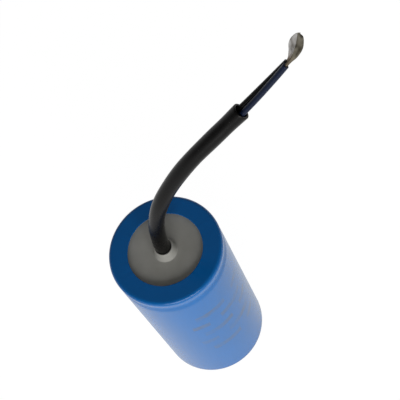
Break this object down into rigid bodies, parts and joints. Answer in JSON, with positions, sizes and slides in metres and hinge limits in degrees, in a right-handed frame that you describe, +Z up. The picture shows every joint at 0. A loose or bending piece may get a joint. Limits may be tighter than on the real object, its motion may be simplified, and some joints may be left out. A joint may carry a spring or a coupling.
{
  "type": "motor capacitor",
  "caption": "Cylindrical motor capacitor: beaded aluminium can in a blue shrink sleeve, grey recessed lid and a short black cable lead with tinned wire ends; starts or runs an electric motor.",
  "frame": {"origin": "centre of the base, on the plane of the sleeve's lower fold that the capacitor stands on", "axes": "+Z up along the can's axis to the end that the lead leaves, +X the way the lead leans, +Y across the lead"},
  "size_m": [0.1043, 0.05, 0.2135],
  "materials": {
    "sleeve_film": "glossy heat-shrink film",
    "can_aluminium": "drawn, satin",
    "cap_plastic": "moulded, matt grey",
    "seal_rubber": "matt black",
    "cast_resin": "cast, dark amber",
    "winding_paper": "wound paper and foil edge",
    "tape_film": "clear yellow film",
    "pitch": "poured black pitch",
    "insulating_board": "pressed board",
    "tab_aluminium": "bright strip",
    "clip_brass": "crimped strip",
    "tubing_plastic": "woven tube, lacquered",
    "jacket_pvc": "satin black cable jacket",
    "core_pvc_black": "satin black insulation",
    "core_pvc_blue": "satin dark blue insulation",
    "tinned_copper": "tinned and pressed flat"
  },
  "bodies": {
    "root": {"sleeve": "sleeve_film", "can": "can_aluminium", "end_cap": "cap_plastic", "sealing_ring": "seal_rubber", "resin_seal": "cast_resin", "winding": "winding_paper", "closing_tape": "tape_film", "anchor_compound": "pitch", "base_insulator": "insulating_board", "top_insulator": "insulating_board", "tab_black": "tab_aluminium", "tab_blue": "tab_aluminium", "clip_black": "clip_brass", "clip_blue": "clip_brass", "tubing_black": "tubing_plastic", "tubing_blue": "tubing_plastic", "cable_jacket": "jacket_pvc", "core_black": "core_pvc_black", "core_blue": "core_pvc_blue", "conductor_black": "tinned_copper", "conductor_blue": "tinned_copper"}
  },
  "joints": []
}
